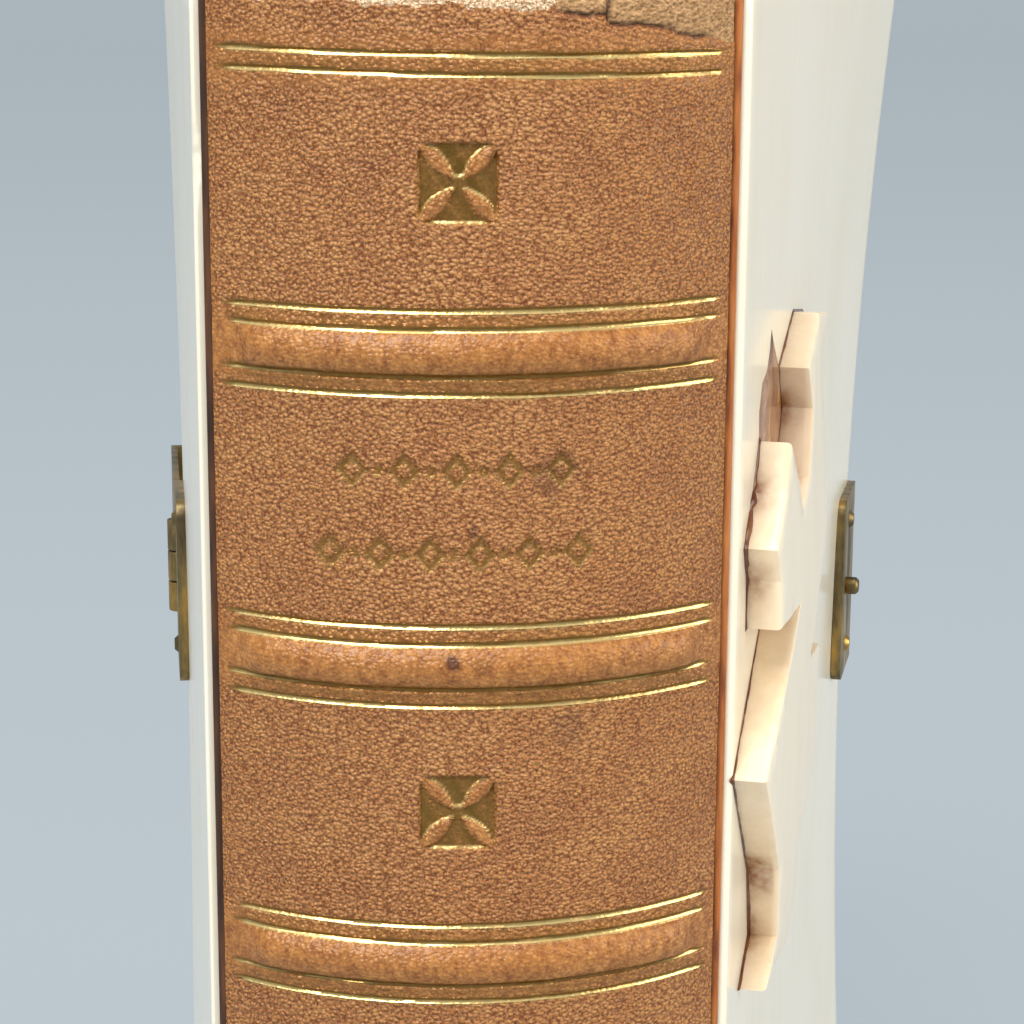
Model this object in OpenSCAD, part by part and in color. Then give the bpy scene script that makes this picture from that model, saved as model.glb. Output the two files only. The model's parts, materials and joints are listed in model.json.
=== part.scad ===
// Small church service book: leather spine with raised bands, ivory-like cover plates, brass clasp.
// It stands on its tail. +Z is up, -Y faces the spine, +X is the front cover, and the origin is on
// the table, in the middle of the leather turned in over the spine's tail.

/* [Book] */
// Height of the covers and the spine
book_h = 114.5; // [100:0.5:130]
// Width of the leather spine, edge to edge
spine_w = 30.5; // [27:0.5:36]
// Depth of a cover from its spine side to its fore-edge
cover_d = 75.6; // [60:0.2:90]
// How far the rounded back swells out
back_swell = 5.4; // [4:0.1:6.5]
// How far the covers stand out past the pages at head, tail and fore-edge
square_w = 2; // [1.5:0.1:3]
// Depth of the hollow in the pages' fore-edge
fore_hollow = 2.4; // [1:0.1:3.5]

/* [Spine] */
// Thickness of the spine leather
leather_t = 1; // [0.8:0.05:1.3]
// Number of raised bands
band_count = 5; // [3:1:6]
// Distance from head and tail to the first and last band
band_margin = 20.2; // [17:0.1:24]
// Radius of the round ridge that a band makes
band_r = 1.75; // [1.5:0.05:2.2]
// Height of a band over the leather
band_h = 0.7; // [0.4:0.05:0.9]
// Angle from the middle of the back to a band's end, in degrees
band_end = 34.5; // [28:0.5:35]
// Thickness of the card tube that backs the leather
hollow_t = 0.6; // [0.4:0.05:0.8]
// Thickness of the cloth glued on the sewn back
mull_t = 0.3; // [0.2:0.05:0.4]
// Height of the leather turned in over head and tail
cap_t = 0.7; // [0.5:0.05:0.9]
// How far that leather is turned in
cap_lip = 1.5; // [1:0.1:2]
// Thickness of the silk head and tail bands
headband_d = 1.2; // [0.9:0.05:1.25]
// Side of the sunk square stamps on the spine
stamp_w = 4.4; // [3.5:0.1:5]
// Depth of the stamps
stamp_depth = 0.25; // [0.15:0.05:0.35]
// How far the stamps were set off the spine's middle, towards the back cover
stamp_off = 1.1; // [0:0.1:2]

/* [Covers] */
// Thickness of the ivory-like plate on a cover
plate_t = 2; // [1.6:0.1:2.6]
// Thickness of the card board under the plate
board_t = 1.15; // [0.9:0.05:1.5]
// Thickness of the paper pasted inside a cover
pastedown_t = 0.2; // [0.15:0.05:0.3]
// Thickness of the loose endpapers
endpaper_t = 0.25; // [0.15:0.05:0.4]
// Width of the leather strip seen along a cover's joint
joint_strip_w = 1.4; // [1:0.1:1.5]
// Thickness of that leather strip
joint_strip_t = 0.4; // [0.3:0.05:0.5]
// How far the front cover stands open, in degrees
front_open = 16.4; // [0:0.1:30]
// How far the back cover stands open, in degrees
back_open = 3.5; // [0:0.1:20]
// Extra opening of the front cover's corners, from its warp, in degrees
front_bow = 2; // [0:0.1:3]
// Extra opening of the back cover's corners, from its warp, in degrees
back_bow = 0.5; // [0:0.1:2]
// Height at which the warped covers stand closest to the pages
bow_z = 52.5; // [45:0.5:62]
// Distance from the head to the middle of the flake lost from the back plate
chip_drop = 9.8; // [5:0.2:20]

/* [Carved ornament] */
// Width of the carved cross on the front cover
ornament_w = 33.4; // [28:0.2:40]
// Distance from the plate's spine side to the cross
ornament_margin = 0.3; // [0.3:0.1:4]
// Height of the carved cross
ornament_h = 43.4; // [34:0.2:50]
// Relief of the cross over the plate
ornament_t = 2.4; // [1.5:0.1:3]
// Height of the middle of the cross
ornament_z = 70.3; // [55:0.1:80]

/* [Clasp] */
// Height of the middle of the clasp
clasp_z = 60.6; // [50:0.2:64]
// Height of a clasp plate
clasp_h = 16; // [13:0.5:20]
// Depth of a clasp plate along the cover
clasp_w = 9; // [8:0.2:11]
// Thickness of a clasp plate
clasp_t = 0.8; // [0.7:0.05:1]
// Height of the hinge barrel
barrel_h = 8.2; // [7:0.2:10]
// Diameter of the hinge barrel
barrel_d = 2.2; // [2:0.1:2.8]
// Diameter of the hinge pin
pin_d = 1; // [0.8:0.05:1.1]
// Width of the strap
strap_w = 7; // [5:0.2:8]
// Thickness of the strap
strap_t = 0.6; // [0.5:0.05:0.8]
// Length of the strap's hook over the front cover
hook_l = 8; // [7:0.2:8.6]
// Diameter of the catch stud
stud_d = 1.5; // [1.2:0.1:1.8]
// Height of the stud over its plate
stud_h = 1.1; // [1:0.05:1.3]
// Diameter of the rivet heads
rivet_d = 1.6; // [1.2:0.1:1.8]
// How far the strap stands open from its closed place, in degrees
strap_open = 90; // [0:1:170]

/* [Hidden] */

// Gaps between pieces that move past each other, and between a shaft and its hole
move_gap = 0.3;
joint_gap = 0.2;
run_gap = 0.05;
press_gap = 0.01;
hook_gap = 0.2;
slot_gap = 0.25;
knuckle_gap = 0.15;
// Room for glue between layers, and between a rivet's shank and its hole
glue_gap = 0.05;

// The rounded back is part of a cylinder through the two edges of the leather
edge_x = spine_w / 2;
back_r = (edge_x * edge_x + back_swell * back_swell) / (2 * back_swell);
back_y = back_r - back_swell;
hollow_r = back_r - leather_t;
mull_r = hollow_r - hollow_t;
block_r = mull_r - mull_t;
back_angle = asin(edge_x / back_r);
band_c = back_r + band_h - band_r;
strip_r = leather_t / 2;
band_zs = [for (i = [0:band_count - 1])
    band_margin + i * (book_h - 2 * band_margin) / (band_count - 1)];
headband_r = block_r - headband_d / 2 - 0.1;

// Each cover turns about an upright line just outside the leather's edge
hinge_x = edge_x + 0.35;
face_x = hinge_x + 0.4;
plate_x = face_x - plate_t;
board_x = plate_x - board_t;
paste_x = board_x - pastedown_t;
paper_x = paste_x - move_gap;
block_x = paper_x - endpaper_t;
strip_y = joint_gap;
plate_y = strip_y + joint_strip_t;
cover_y = plate_y + cover_d;
fore_y = cover_y - square_w;

// The pages swell to a shoulder behind the joint, and the boards start clear of it
shoulder_x = plate_x - 0.4;
shoulder_y = back_y - sqrt(block_r * block_r - shoulder_x * shoulder_x);
shoulder_run = shoulder_x - block_x;
board_y = shoulder_y + shoulder_run + 0.3;
block_z0 = square_w;
block_z1 = book_h - square_w;
fore_r = (block_x * block_x + fore_hollow * fore_hollow) / (2 * fore_hollow);

// The cross is sunk this deep into the closed plate's face before it is cut to the warp
ornament_seat = 0.6;

// Clasp places, all worked out on closed covers
clasp_y = cover_y - clasp_w;
barrel_x = face_x + clasp_t - barrel_d / 2 + 0.7;
barrel_y = cover_y + barrel_d / 2 + move_gap;
knuckle_h = (barrel_h - 2 * knuckle_gap) / 3;
tongue_l = 4;
hook_x = face_x + clasp_t + hook_gap;
stud_y = clasp_y + 3.2;
hook_y = barrel_y + strap_t / 2 - hook_l;
rivet_zs = [clasp_z - clasp_h / 2 + 2.4, clasp_z + clasp_h / 2 - 2.4];
rivet_y = clasp_y + clasp_w / 2;
rivet_shank_r = 0.4;
rivet_dome = 0.35;
stud_ease = 0.25;

levels = 12;
edge_round = 0.5;
plate_fn = 96;

// The leather's warm brown, the gilt, the plates' cream and the tarnished brass
leather_brown = [0.62, 0.4, 0.22];
joint_brown = [0.66, 0.38, 0.2];
plate_cream = [0.92, 0.9, 0.83];
brass_dull = [0.5, 0.42, 0.24];
paper_white = [0.93, 0.9, 0.82];
card_grey = [0.62, 0.56, 0.45];
silk_cream = [0.88, 0.82, 0.66];

// A point turned outwards about the front cover's joint line
function turned(p, a) = [
    hinge_x + (p.x - hinge_x) * cos(a) + p.y * sin(a),
    p.y * cos(a) - (p.x - hinge_x) * sin(a),
];

// How far the cover stands open at height z: its middle angle and the warp's share
function open_at(z, open, bow) = open + bow * pow((z - bow_z) / (book_h / 2), 2);

// An arc of a circle as points
function arc(c, r, a0, a1, n = 4) = [for (i = [0:n])
    c + r * [cos(a0 + (a1 - a0) * i / n), sin(a0 + (a1 - a0) * i / n)]];

// Plan of a board between two faces, its outer corners round
function plan(x0, x1, y0, y1, r, inset = 0) = concat(
    [[x0 + inset / 3, y0 + inset]],
    arc([x1 - r, y0 + r], r - inset, -90, 0),
    arc([x1 - r, y1 - r], r - inset, 0, 90),
    [[x0 + inset / 3, y1 - inset]]
);

// A warped board: its plan is turned a little more at each level away from bow_z, and its edges at
// head and tail are eased by inset. Its inner face is split along the same diagonals as its outer
// face, so that boards lie flat on each other
module warped_board(x0, x1, y0, y1, z0, z1, open, bow, r, inset) {
    zs = concat(
        [z0],
        [for (i = [0:levels]) z0 + inset + (z1 - z0 - 2 * inset) * i / levels],
        [z1]
    );
    last = len(zs) - 1;
    count = len(plan(x0, x1, y0, y1, r));
    points = [for (k = [0:last], p = plan(x0, x1, y0, y1, r, k == 0 || k == last ? inset : 0))
        let (q = turned(p, open_at(zs[k], open, bow))) [q.x, q.y, zs[k]]];
    sides = [for (k = [0:last - 1], j = [0:count - 1], half = [0, 1])
        let (a = k * count + j, b = k * count + (j + 1) % count)
            j == count - 1
                ? (half == 0 ? [a, a + count, b] : [b, a + count, b + count])
                : (half == 0 ? [a, a + count, b + count] : [a, b + count, b])];
    foot = [for (j = [0:count - 1]) j];
    head = [for (j = [count - 1:-1:0]) last * count + j];
    polyhedron(points, concat([foot], sides, [head]), convexity = 4);
}

// Puts a piece made on the closed front cover in its open place
module on_front() {
    translate([hinge_x, 0, 0]) rotate([0, 0, -open_at(clasp_z, front_open, front_bow)])
        translate([-hinge_x, 0, 0]) children();
}

// The same for the back cover, mirrored
module on_back() {
    mirror([1, 0, 0]) translate([hinge_x, 0, 0])
        rotate([0, 0, -open_at(clasp_z, back_open, back_bow)])
            translate([-hinge_x, 0, 0]) children();
}

// Part of a turned ring about the back's axis, from z0 to z1 and half_angle each way
module back_ring(half_angle) {
    translate([0, back_y, 0]) rotate([0, 0, -90 - half_angle])
        rotate_extrude(angle = 2 * half_angle, $fn = 180) children();
}

// Plan of a layer that follows the rounded back between two radii, out to a given width
module back_layer(r_in, r_out, half_w, z0, z1) {
    translate([0, 0, z0]) linear_extrude(z1 - z0) intersection() {
        translate([0, back_y]) difference() {
            circle(r = r_out, $fn = 180);
            circle(r = r_in, $fn = 180);
        }
        translate([-half_w, -back_swell - 1]) square([2 * half_w, back_swell + 1 + shoulder_y]);
    }
}

// The sewn pages: rounded back with shoulders, straight sides, hollow fore-edge
module text_block() {
    color(paper_white) translate([0, 0, block_z0]) linear_extrude(block_z1 - block_z0)
        difference() {
            union() {
                intersection() {
                    translate([0, back_y]) circle(r = block_r, $fn = 180);
                    translate([-shoulder_x, -back_swell])
                        square([2 * shoulder_x, back_swell + shoulder_y]);
                }
                polygon([
                    [-shoulder_x, shoulder_y], [shoulder_x, shoulder_y],
                    [block_x, shoulder_y + shoulder_run], [block_x, fore_y],
                    [-block_x, fore_y], [-block_x, shoulder_y + shoulder_run],
                ]);
            }
            translate([0, fore_y - fore_hollow + fore_r]) circle(r = fore_r, $fn = 180);
        }
}

module endpaper() {
    color(paper_white) translate([block_x, shoulder_y + shoulder_run, block_z0])
        cube([endpaper_t, fore_y - shoulder_y - shoulder_run, block_z1 - block_z0]);
}

module front_endpaper() {
    endpaper();
}

module back_endpaper() {
    mirror([1, 0, 0]) endpaper();
}

module spine_mull() {
    color(silk_cream) back_layer(block_r + glue_gap, mull_r, shoulder_x, block_z0 + 2, block_z1 - 2);
}

module hollow_back() {
    color(card_grey) back_layer(mull_r + glue_gap, hollow_r - glue_gap, shoulder_x - 0.3, cap_t + glue_gap,
        book_h - cap_t - glue_gap);
}

// Half-round card strips under the raised bands
module band_strips() {
    color(card_grey) for (z = band_zs) back_ring(band_end) intersection() {
        translate([hollow_r, z]) circle(r = strip_r - glue_gap, $fn = 48);
        translate([hollow_r, z - strip_r]) square([2 * strip_r, 2 * strip_r]);
    }
}

// Half section of the leather: flat skin with turned-in caps, and grooves for the card strips
module skin_section() {
    difference() {
        union() {
            translate([hollow_r, 0]) square([leather_t, book_h]);
            for (z = [0, book_h - cap_t]) translate([hollow_r - cap_lip, z])
                square([cap_lip + leather_t / 2, cap_t]);
        }
        for (z = band_zs) translate([hollow_r, z]) circle(r = strip_r, $fn = 48);
    }
}

// Section of one raised band, from the middle of the leather outwards
module band_section(z) {
    intersection() {
        translate([band_c, z]) circle(r = band_r, $fn = 64);
        translate([hollow_r + leather_t / 2 + glue_gap, z - band_r]) square([2 * band_r, 2 * band_r]);
    }
}

// A sunk square stamp in the leather of the panel between two bands
module stamp(z) {
    translate([-stamp_off - stamp_w / 2, -back_swell - 1, z - stamp_w / 2])
        cube([stamp_w, 1 + stamp_depth, stamp_w]);
}

module spine_leather() {
    panel_zs = [
        (band_zs[0] + 0) / 2 + 1,
        (band_zs[1] + band_zs[2]) / 2,
        (band_zs[band_count - 2] + band_zs[band_count - 3]) / 2,
        (band_zs[band_count - 1] + book_h) / 2 - 1,
    ];
    color(leather_brown) difference() {
        intersection() {
            union() {
                back_ring(back_angle) skin_section();
                for (z = band_zs) back_ring(band_end) band_section(z);
            }
            translate([-edge_x - 1, -back_swell - 2, 0])
                cube([2 * edge_x + 2, back_swell + 2, book_h]);
        }
        for (z = panel_zs) stamp(z);
    }
}

// Silk band along the back edge of the pages
module silk_band(z) {
    color(silk_cream) back_ring(asin((shoulder_x - 1.5) / block_r))
        translate([headband_r, z]) circle(d = headband_d, $fn = 32);
}

module headband() {
    silk_band(block_z1 + headband_d / 2 + glue_gap);
}

module tailband() {
    silk_band(block_z0 - headband_d / 2 - glue_gap);
}

// Holes for the rivets' shanks through a cover, on the closed cover
module rivet_holes(x0, x1) {
    for (z = rivet_zs) translate([x0, rivet_y, z]) rotate([0, 90, 0])
        cylinder(r = rivet_shank_r, h = x1 - x0, $fn = 32);
}

module stud_hole(x0, x1) {
    translate([x0, stud_y, clasp_z]) rotate([0, 90, 0])
        cylinder(r = rivet_shank_r, h = x1 - x0, $fn = 32);
}

module board(open, bow) {
    warped_board(board_x, plate_x - glue_gap, board_y, cover_y, 0, book_h, open, bow, 0.1, 0.05);
}

module front_board() {
    color(card_grey) board(front_open, front_bow);
}

module back_board() {
    color(card_grey) mirror([1, 0, 0]) board(back_open, back_bow);
}

// Blank of a clasp plate, with round corners, deep enough to seat on the warped cover
module clasp_blank(x0, x1) {
    r = 1.5;
    translate([x0, 0, clasp_z]) rotate([90, 0, 90]) linear_extrude(x1 - x0) union() {
        translate([clasp_y, -clasp_h / 2 + r]) square([clasp_w, clasp_h - 2 * r]);
        translate([clasp_y + r, -clasp_h / 2]) square([clasp_w - r, clasp_h]);
        for (z = [-1, 1]) translate([clasp_y + r, z * (clasp_h / 2 - r)])
            circle(r = r, $fn = 48);
    }
}

// Ivory-like plate of a cover, with a shallow seat for its clasp plate
module cover_plate(open, bow) {
    warped_board(plate_x, face_x, plate_y, cover_y, 0, book_h, open, bow, edge_round, edge_round / 2);
}

module front_plate() {
    color(plate_cream) difference() {
        cover_plate(front_open, front_bow);
        on_front() {
            clasp_blank(face_x, face_x + 1);
            rivet_holes(plate_x - 1, face_x + 1);
            stud_hole(plate_x - 1, face_x + 1);
        }
    }
}

// The back plate has lost a flake from its spine-side arris near the head
module back_plate() {
    color(plate_cream) difference() {
        mirror([1, 0, 0]) cover_plate(back_open, back_bow);
        on_back() {
            clasp_blank(face_x, face_x + 1);
            rivet_holes(plate_x - 1, face_x + 1);
        }
        on_back() translate([face_x + 0.3, plate_y - 0.5, book_h - chip_drop])
            scale([1, 1, 3.2]) sphere(r = 1, $fn = 24);
    }
}

module pastedown(open, bow) {
    warped_board(paste_x, board_x - 2 * glue_gap, board_y, cover_y - 1, 1, book_h - 1, open, bow, 0.06, 0.03);
}

module front_pastedown() {
    color(paper_white) pastedown(front_open, front_bow);
}

module back_pastedown() {
    color(paper_white) mirror([1, 0, 0]) pastedown(back_open, back_bow);
}

// Leather that runs from the spine onto a cover, seen as a strip along the joint
module joint_leather() {
    translate([edge_x + 0.25 - joint_strip_w, strip_y, 0])
        cube([joint_strip_w, joint_strip_t - glue_gap, book_h]);
}

module front_joint_leather() {
    color(joint_brown) on_front() joint_leather();
}

module back_joint_leather() {
    color(joint_brown) on_back() joint_leather();
}

// Outline of the carved cross, as shares of its width from the spine side and its height from below.
// Its swallow-tailed arms are uneven, as they were cut by hand
CROSS = [
    [0.692, 1.000], [0.488, 0.945], [0.524, 0.876], [0.506, 0.770], [0.416, 0.737], [0.213, 0.871],
    [0.114, 0.813], [0.075, 0.740], [0.081, 0.691], [0.111, 0.611], [0.404, 0.590], [0.000, 0.412],
    [0.231, 0.212], [0.281, 0.090], [0.153, 0.039], [0.338, 0.030], [0.521, 0.000], [0.644, 0.071],
    [0.614, 0.154], [0.823, 0.164], [0.967, 0.212], [0.973, 0.295], [0.913, 0.417], [0.644, 0.452],
    [1.000, 0.615], [0.793, 0.816], [0.740, 0.922], [0.847, 0.982],
];

// Carved swallow-tailed cross, its back fitted to the front plate's warp
module cover_ornament() {
    color(plate_cream) difference() {
        on_front() translate([
            face_x - ornament_seat, plate_y + ornament_margin, ornament_z - ornament_h / 2
        ]) rotate([90, 0, 90]) linear_extrude(ornament_t + ornament_seat)
            polygon([for (p = CROSS) [p.x * ornament_w, p.y * ornament_h]]);
        cover_plate(front_open, front_bow);
    }
}

module front_clasp_plate() {
    color(brass_dull) on_front() difference() {
        clasp_blank(face_x, face_x + clasp_t);
        rivet_holes(face_x - 1, face_x + clasp_t + 1);
        stud_hole(face_x - 1, face_x + clasp_t + 1);
    }
}

// Domed rivets of a clasp plate, their shanks through the cover plate
module rivets() {
    for (z = rivet_zs) translate([0, rivet_y, z]) {
        translate([plate_x + move_gap, 0, 0]) rotate([0, 90, 0])
            cylinder(r = rivet_shank_r - glue_gap, h = plate_t + clasp_t - move_gap, $fn = 32);
        translate([face_x + clasp_t, 0, 0]) rotate([0, 90, 0])
            cylinder(d1 = rivet_d, d2 = rivet_d * 0.6, h = rivet_dome, $fn = 32);
    }
}

module front_clasp_rivets() {
    color(brass_dull) on_front() rivets();
}

// Stud that the strap's slot slides over
module catch_stud() {
    color(brass_dull) on_front() translate([face_x + clasp_t, stud_y, clasp_z]) rotate([0, 90, 0]) {
        translate([0, 0, move_gap - plate_t - clasp_t])
            cylinder(r = rivet_shank_r - glue_gap, h = plate_t + clasp_t, $fn = 32);
        cylinder(d = stud_d, h = stud_h - stud_ease, $fn = 48);
        translate([0, 0, stud_h - stud_ease])
            cylinder(d1 = stud_d, d2 = stud_d - 2 * stud_ease, h = stud_ease, $fn = 48);
    }
}

// Plate of the back cover with the two outer knuckles of the hinge
module back_clasp_plate() {
    low = clasp_z - barrel_h / 2;
    color(brass_dull) on_back() difference() {
        union() {
            clasp_blank(face_x, face_x + clasp_t);
            for (z = [low, clasp_z + barrel_h / 2 - knuckle_h]) {
                translate([face_x, cover_y - 0.5, z])
                    cube([clasp_t, barrel_y - cover_y + 0.5, knuckle_h]);
                translate([barrel_x, barrel_y, z]) cylinder(d = barrel_d, h = knuckle_h, $fn = plate_fn);
            }
        }
        translate([barrel_x, barrel_y, low - 1])
            cylinder(r = pin_d / 2 + press_gap, h = barrel_h + 2, $fn = 48);
        rivet_holes(face_x - 1, face_x + clasp_t + 1);
    }
}

module back_clasp_rivets() {
    color(brass_dull) on_back() rivets();
}

module clasp_hinge_pin() {
    color(brass_dull) on_back() translate([barrel_x, barrel_y, clasp_z - barrel_h / 2])
        cylinder(d = pin_d, h = barrel_h, $fn = 48);
}

// Strap on the closed book: knuckle, cross strip over the fore-edge, hook with its open slot
module closed_strap() {
    cross_y = barrel_y - strap_t / 2;
    difference() {
        union() {
            translate([barrel_x, barrel_y, clasp_z - knuckle_h / 2])
                cylinder(d = barrel_d, h = knuckle_h, $fn = plate_fn);
            translate([barrel_x - tongue_l, cross_y, clasp_z - knuckle_h / 2])
                cube([tongue_l, strap_t, knuckle_h]);
            translate([-hook_x - strap_t, cross_y, clasp_z - strap_w / 2])
                cube([hook_x + strap_t + barrel_x - tongue_l + 1, strap_t, strap_w]);
            translate([-hook_x - strap_t, hook_y + strap_w / 2 - 1, clasp_z - strap_w / 2])
                cube([strap_t, cross_y + strap_t - hook_y - strap_w / 2 + 1, strap_w]);
            intersection() {
                translate([-hook_x - strap_t, hook_y + strap_w / 2, clasp_z])
                    rotate([0, 90, 0]) cylinder(d = strap_w, h = strap_t, $fn = plate_fn);
                translate([-hook_x - strap_t, hook_y, clasp_z - strap_w / 2])
                    cube([strap_t, strap_w, strap_w]);
            }
        }
        translate([barrel_x, barrel_y, clasp_z - knuckle_h])
            cylinder(r = pin_d / 2 + run_gap, h = 2 * knuckle_h, $fn = 48);
        translate([-hook_x - 2 * strap_t, stud_y, clasp_z]) rotate([0, 90, 0])
            cylinder(r = stud_d / 2 + slot_gap, h = 3 * strap_t, $fn = 48);
        translate([-hook_x - 2 * strap_t, hook_y - 1, clasp_z - stud_d / 2 - slot_gap])
            cube([3 * strap_t, stud_y - hook_y + 1, stud_d + 2 * slot_gap]);
    }
}

module clasp_strap() {
    color(brass_dull) on_back() translate([barrel_x, barrel_y, 0]) rotate([0, 0, -strap_open])
        translate([-barrel_x, -barrel_y, 0]) closed_strap();
}

// Everything moves back so that the origin is in the middle of the tail cap's face
origin_y = back_y - back_r + (leather_t + cap_lip) / 2;
translate([0, -origin_y, 0]) {
    text_block();
    front_endpaper();
    back_endpaper();
    spine_mull();
    hollow_back();
    band_strips();
    spine_leather();
    headband();
    tailband();
    front_board();
    front_plate();
    front_pastedown();
    front_joint_leather();
    back_board();
    back_plate();
    back_pastedown();
    back_joint_leather();
    cover_ornament();
    front_clasp_plate();
    front_clasp_rivets();
    catch_stud();
    back_clasp_plate();
    back_clasp_rivets();
    clasp_hinge_pin();
    clasp_strap();
}
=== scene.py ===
"""Looks of a small church service book: tooled leather spine, ivory-coloured covers, carved cross and brass clasp."""

import json
import math

import bmesh
import bpy
import numpy as np
from mathutils import Matrix, Vector
from mathutils.geometry import delaunay_2d_cdt

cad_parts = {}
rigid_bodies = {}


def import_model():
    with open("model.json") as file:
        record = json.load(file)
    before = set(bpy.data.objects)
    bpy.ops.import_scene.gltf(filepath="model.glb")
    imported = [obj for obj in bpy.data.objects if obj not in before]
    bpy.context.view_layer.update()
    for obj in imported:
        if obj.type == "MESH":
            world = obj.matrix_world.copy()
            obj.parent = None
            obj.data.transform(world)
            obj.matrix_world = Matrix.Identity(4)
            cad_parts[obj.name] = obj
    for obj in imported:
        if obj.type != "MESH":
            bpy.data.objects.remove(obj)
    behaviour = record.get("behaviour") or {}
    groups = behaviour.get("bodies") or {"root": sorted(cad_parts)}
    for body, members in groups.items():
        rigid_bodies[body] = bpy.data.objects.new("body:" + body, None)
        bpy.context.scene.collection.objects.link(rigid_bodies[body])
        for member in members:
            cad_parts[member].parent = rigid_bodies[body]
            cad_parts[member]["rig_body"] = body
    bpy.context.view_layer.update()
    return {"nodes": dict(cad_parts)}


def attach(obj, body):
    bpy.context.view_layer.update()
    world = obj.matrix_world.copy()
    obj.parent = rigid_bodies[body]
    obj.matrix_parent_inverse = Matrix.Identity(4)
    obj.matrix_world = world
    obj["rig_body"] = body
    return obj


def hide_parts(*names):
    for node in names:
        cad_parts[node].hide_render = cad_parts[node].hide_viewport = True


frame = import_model()

# Sizes of the solids, in millimetres
MM = 0.001
BOOK_H = 114.5
EDGE_X = 15.25
BACK_SWELL = 5.4
BACK_R = (EDGE_X**2 + BACK_SWELL**2) / (2 * BACK_SWELL)
BACK_Y = BACK_R - BACK_SWELL
LEATHER = 1.0
HOLLOW_R = BACK_R - LEATHER
CAP_T, CAP_LIP = 0.7, 1.5
BAND_ZS = [20.2, 38.725, 57.25, 75.775, 94.3]
BAND_R, BAND_H = 1.75, 0.7
BAND_END = 34.5
HINGE_X = 15.6
FACE_X, PLATE_X = 16.0, 14.0
PLATE_Y, COVER_Y = 0.6, 76.2
FRONT_OPEN, FRONT_BOW = 16.4, 2.0
BACK_OPEN, BACK_BOW = 3.5, 0.5
BOW_Z = 52.5
ORIGIN_Y = -4.15
EDGE_ROUND = 0.5
CROSS_W, CROSS_H = 33.4, 43.4
CROSS_Y, CROSS_Z = 0.9, 70.3 - CROSS_H / 2
CROSS_MIDDLE, CROSS_REACH = (17.6, 70.9), 22
CROSS_THICK, CROSS_FALL = 2.5, 0.6
CROSS = [
    (0.692, 1.000), (0.497, 0.940), (0.560, 0.869), (0.506, 0.770), (0.416, 0.737), (0.243, 0.866),
    (0.183, 0.802), (0.078, 0.737), (0.123, 0.682), (0.132, 0.608), (0.404, 0.590), (0.000, 0.412),
    (0.260, 0.203), (0.308, 0.081), (0.168, 0.037), (0.338, 0.030), (0.521, 0.000), (0.644, 0.071),
    (0.614, 0.154), (0.823, 0.164), (0.967, 0.212), (0.973, 0.295), (0.913, 0.417), (0.644, 0.452),
    (1.000, 0.615), (0.793, 0.816), (0.740, 0.922), (0.847, 0.982),
]


# Meshes

def mesh_piece(name, points, faces, body, smooth=None):
    """A piece from points in millimetres. smooth is the largest angle in degrees that is shaded round."""
    mesh = bpy.data.meshes.new(name)
    mesh.from_pydata([(x * MM, (y - ORIGIN_Y) * MM, z * MM) for x, y, z in points], [], faces)
    work = bmesh.new()
    work.from_mesh(mesh)
    bmesh.ops.remove_doubles(work, verts=work.verts, dist=1e-6)
    bmesh.ops.recalc_face_normals(work, faces=work.faces)
    work.to_mesh(mesh)
    work.free()
    if smooth:
        mesh.shade_smooth()
        mesh.set_sharp_from_angle(angle=math.radians(smooth))
    piece = bpy.data.objects.new(name, mesh)
    bpy.context.scene.collection.objects.link(piece)
    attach(piece, body)
    return piece


def mark(piece, name, values):
    """Keeps one number per vertex for the material to read."""
    layer = piece.data.attributes.new(name, "FLOAT", "POINT")
    layer.data.foreach_set("value", np.asarray(values, np.float32).ravel())


def soft_step(low, high, value):
    t = np.clip((value - low) / (high - low), 0, 1)
    return t * t * (3 - 2 * t)


def ripple(a, b=0.0, seed=0):
    """A smooth uneven wave from -1 to 1, the same each run."""
    total = 0.0
    for k, (fa, fb) in enumerate(((1.0, 0.7), (2.3, 1.9), (4.9, 3.7), (9.7, 8.3))):
        total = total + np.sin(fa * a + fb * b + 1.7 * seed + 2.1 * k) / (1.4**k)
    return total / 2.4


def turned(x, y, degrees):
    """A point of the closed front cover, turned out about its joint line."""
    a = np.radians(degrees)
    return (
        HINGE_X + (x - HINGE_X) * np.cos(a) + y * np.sin(a),
        y * np.cos(a) - (x - HINGE_X) * np.sin(a),
    )


def open_at(z, opened, bow):
    """How far a warped cover stands open at height z, in degrees."""
    return opened + bow * ((z - BOW_Z) / (BOOK_H / 2)) ** 2


# The leather spine: a fine grid over the rounded back, pressed in where it is tooled

STAMP_HALF = 2.3
STAMP_X = -1.1
STAMP_ZS = [11.1, 47.99, 66.88, 104.02]
TOOLED_ROWS = [(87.5, -7.2, 4.9, 5), (82.6, -8.5, 6.0, 6)]
HEAD_RULES = [3.2, 4.3]
BAND_RULES = [2.53, 1.48, -1.17, -2.3]
RULE_HALF, RULE_DEPTH = 0.24, 0.17
STAMP_DEPTH = 0.3
TOOLED_X = (-10, 7.6)
FINE_X, COARSE_X = 0.165, 0.5
FINE_Z, COARSE_Z = 0.105, 0.6
ROUND_OVER, ROUND_SIDE = 0.65, 0.3


def steps(low, high, fine, step, coarse):
    """Numbers from low to high, step apart within the fine stretches and coarse apart elsewhere."""
    found, at = [low], low
    while at < high - 1e-6:
        near = any(a - 0.01 <= at <= b for a, b in fine)
        to_next = min([a - at for a, b in fine if a > at + 0.011] + [1e9])
        at = min(at + (step if near else min(coarse, max(step, to_next))), high)
        found.append(at)
    return np.array(found)


def rule_heights():
    rules = [z for d in HEAD_RULES for z in (BOOK_H - d, d)]
    return rules + [z + d for z in BAND_ZS for d in BAND_RULES]


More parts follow.
